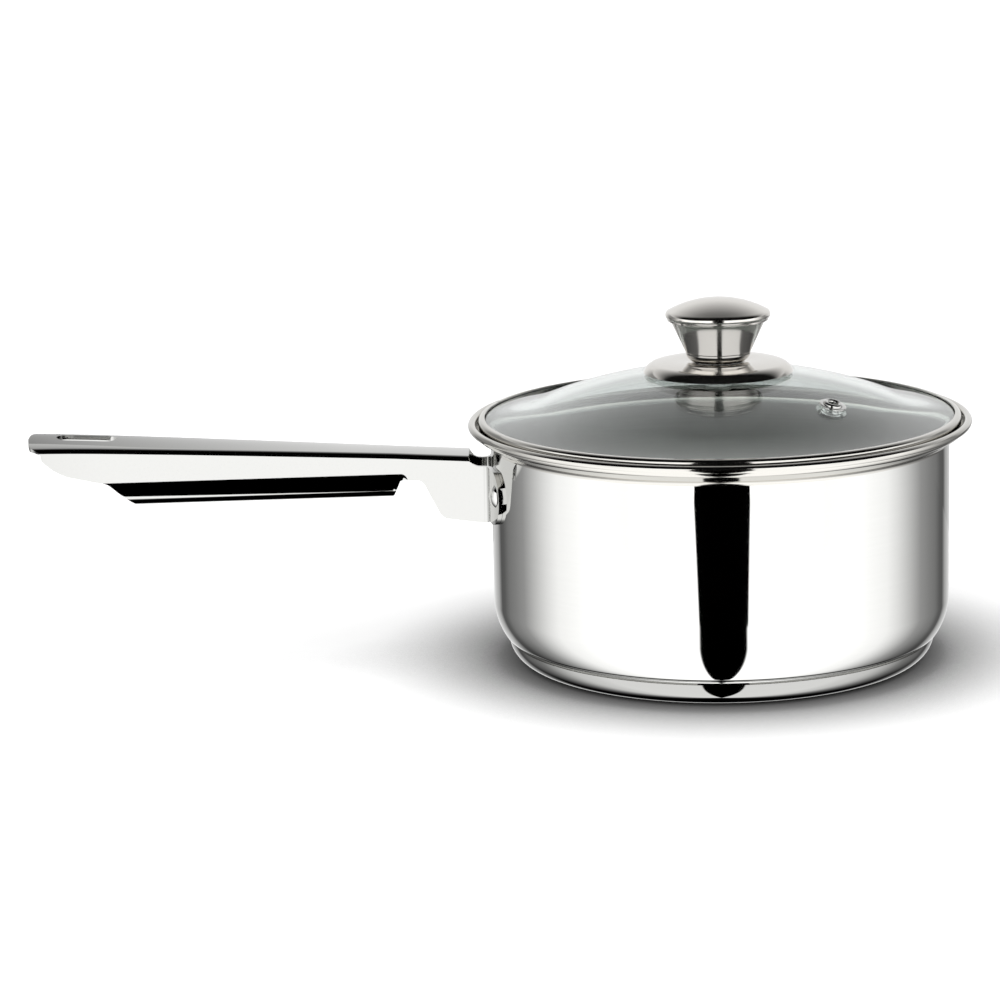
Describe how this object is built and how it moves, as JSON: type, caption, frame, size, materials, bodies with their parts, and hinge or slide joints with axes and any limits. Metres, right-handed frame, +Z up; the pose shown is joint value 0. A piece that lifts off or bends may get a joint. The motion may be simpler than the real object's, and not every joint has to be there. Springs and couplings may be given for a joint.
{
  "type": "saucepan with glass lid",
  "caption": "Polished steel saucepan with capsule base, riveted strip handle with hanging slot, and a lift-off glass lid with steel band, vent and knob.",
  "frame": {"origin": "centre of the underside of the base, where the pan stands", "axes": "+Z up, the handle points along -X, the lid lifts off along +Z"},
  "size_m": [0.3313, 0.1766, 0.1277],
  "materials": {
    "pot_steel": "mirror polished outside, fine brushed inside",
    "handle_steel": "mirror polished",
    "trim_steel": "polished",
    "knob_steel": "polished",
    "core_aluminium": "as rolled",
    "lid_glass": "clear, tempered",
    "silicone": "matt, translucent white",
    "brass": "turned"
  },
  "bodies": {
    "pan": {"pan_body": "pot_steel", "base_disc": "core_aluminium", "base_cap": "pot_steel", "handle": "handle_steel", "handle_rivets": "trim_steel"},
    "lid": {"lid_glass": "lid_glass", "lid_rim": "trim_steel", "vent_eyelet": "trim_steel", "vent_washer": "trim_steel", "knob_plate": "knob_steel", "knob_gasket": "silicone", "knob_body": "knob_steel", "knob_cap": "knob_steel", "knob_insert": "brass", "glass_gasket": "silicone", "screw_washer": "trim_steel", "knob_screw": "trim_steel"}
  },
  "joints": [
    {"name": "lid_lift", "type": "slide", "parent": "pan", "child": "lid", "axis": [0, 0, 1], "range_m": [0, 0.14]}
  ]
}
